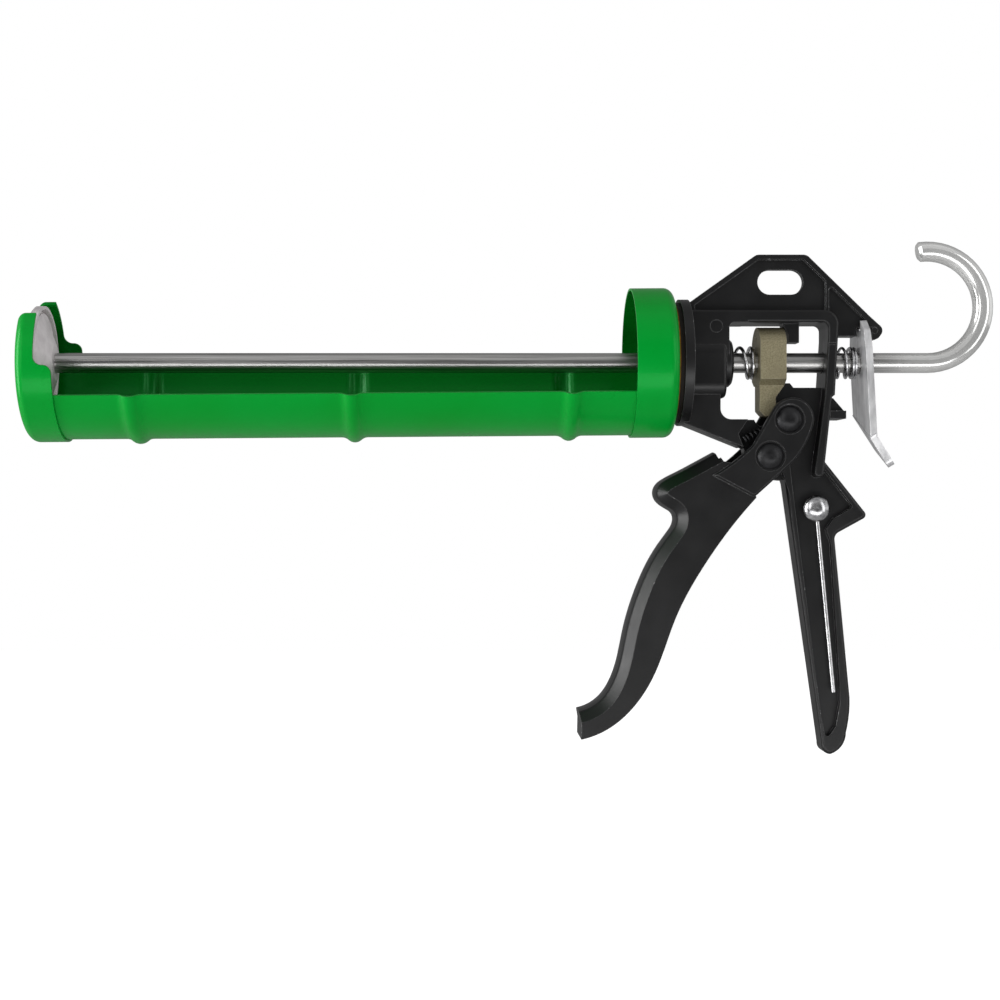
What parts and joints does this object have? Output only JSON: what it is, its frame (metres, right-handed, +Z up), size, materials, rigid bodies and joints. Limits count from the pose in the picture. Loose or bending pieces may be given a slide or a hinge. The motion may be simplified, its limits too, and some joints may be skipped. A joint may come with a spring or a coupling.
{
  "type": "caulking gun",
  "caption": "Half-barrel caulking gun with a swivelling cradle, round rod with a hook, lever trigger, release plate and seal-piercing wire.",
  "frame": {"origin": "on the rod's axis, at the front face of the frame's flange", "axes": "+X back along the rod towards its hook, +Z up, the handle hangs towards -Z, -Y is the gun's left side seen from behind"},
  "size_m": [0.3433, 0.0541, 0.1823],
  "materials": {
    "green_paint": "gloss green enamel on pressed steel",
    "black_coat": "satin black powder coat on die-cast alloy",
    "black_pins": "blackened steel",
    "fibre": "brown vulcanised fibre",
    "sintered_steel": "sintered steel, olive passivated",
    "spring_wire": "bright drawn spring wire",
    "bright_steel": "bright drawn steel",
    "zinc_plate": "zinc plated",
    "plate_zinc": "bright zinc plate",
    "bright_dome": "bright plated"
  },
  "bodies": {
    "frame": {"frame_casting": "black_coat", "swivel_nut": "zinc_plate", "wave_washer": "zinc_plate", "swivel_washer": "fibre", "puncture_rivet": "bright_dome", "return_spring": "spring_wire", "release_spring": "spring_wire", "trigger_spring": "black_pins"},
    "cradle": {"cradle_trough": "green_paint", "front_cap": "green_paint", "rear_cup": "green_paint"},
    "trigger": {"trigger": "black_coat", "fulcrum_pin": "black_pins", "drive_pin": "black_pins", "pin_retaining_rings": "spring_wire"},
    "dog": {"drive_dog": "sintered_steel"},
    "pusher": {"pusher_disc": "zinc_plate", "pusher_back_plate": "zinc_plate"},
    "rod": {"piston_rod": "bright_steel", "pusher_screw": "zinc_plate"},
    "release": {"release_plate": "plate_zinc"},
    "puncture": {"puncture_wire": "spring_wire"}
  },
  "joints": [
    {"name": "cradle_swivel", "type": "hinge", "parent": "frame", "child": "cradle", "pos_m": [0, 0, 0], "axis": [1, 0, 0.0073], "continuous": true},
    {"name": "trigger_squeeze", "type": "hinge", "parent": "frame", "child": "trigger", "pos_m": [0.0312, 0, -0.0335], "axis": [0, -1, 0], "range_deg": [0, 28], "stiffness_Nm_per_rad": 0.25, "springref_deg": -28.65, "deforming": ["trigger_spring"]},
    {"name": "dog_slide", "type": "slide", "parent": "frame", "child": "dog", "axis": [-1, 0, 0], "range_m": [0, 0.00687], "deforming": ["return_spring"]},
    {"name": "pusher_slide", "type": "slide", "parent": "frame", "child": "pusher", "axis": [1, 0, 0], "range_m": [0, 0.21]},
    {"name": "rod_turn", "type": "hinge", "parent": "pusher", "child": "rod", "pos_m": [0, 0, 0], "axis": [1, 0, 0], "continuous": true},
    {"name": "release_press", "type": "hinge", "parent": "frame", "child": "release", "pos_m": [0.066, 0, 0.0115], "axis": [0, 1, 0], "range_deg": [0, 6], "stiffness_Nm_per_rad": 0.4, "springref_deg": -8.59, "deforming": ["release_spring"]},
    {"name": "puncture_swing", "type": "hinge", "parent": "frame", "child": "puncture", "pos_m": [0.0483, -0.0061, -0.0519], "axis": [0, -1, 0], "range_deg": [0, 95]}
  ],
  "couplings": [
    {"joint": "dog_slide", "follows": "trigger_squeeze", "m_per_rad": 0.014021}
  ]
}
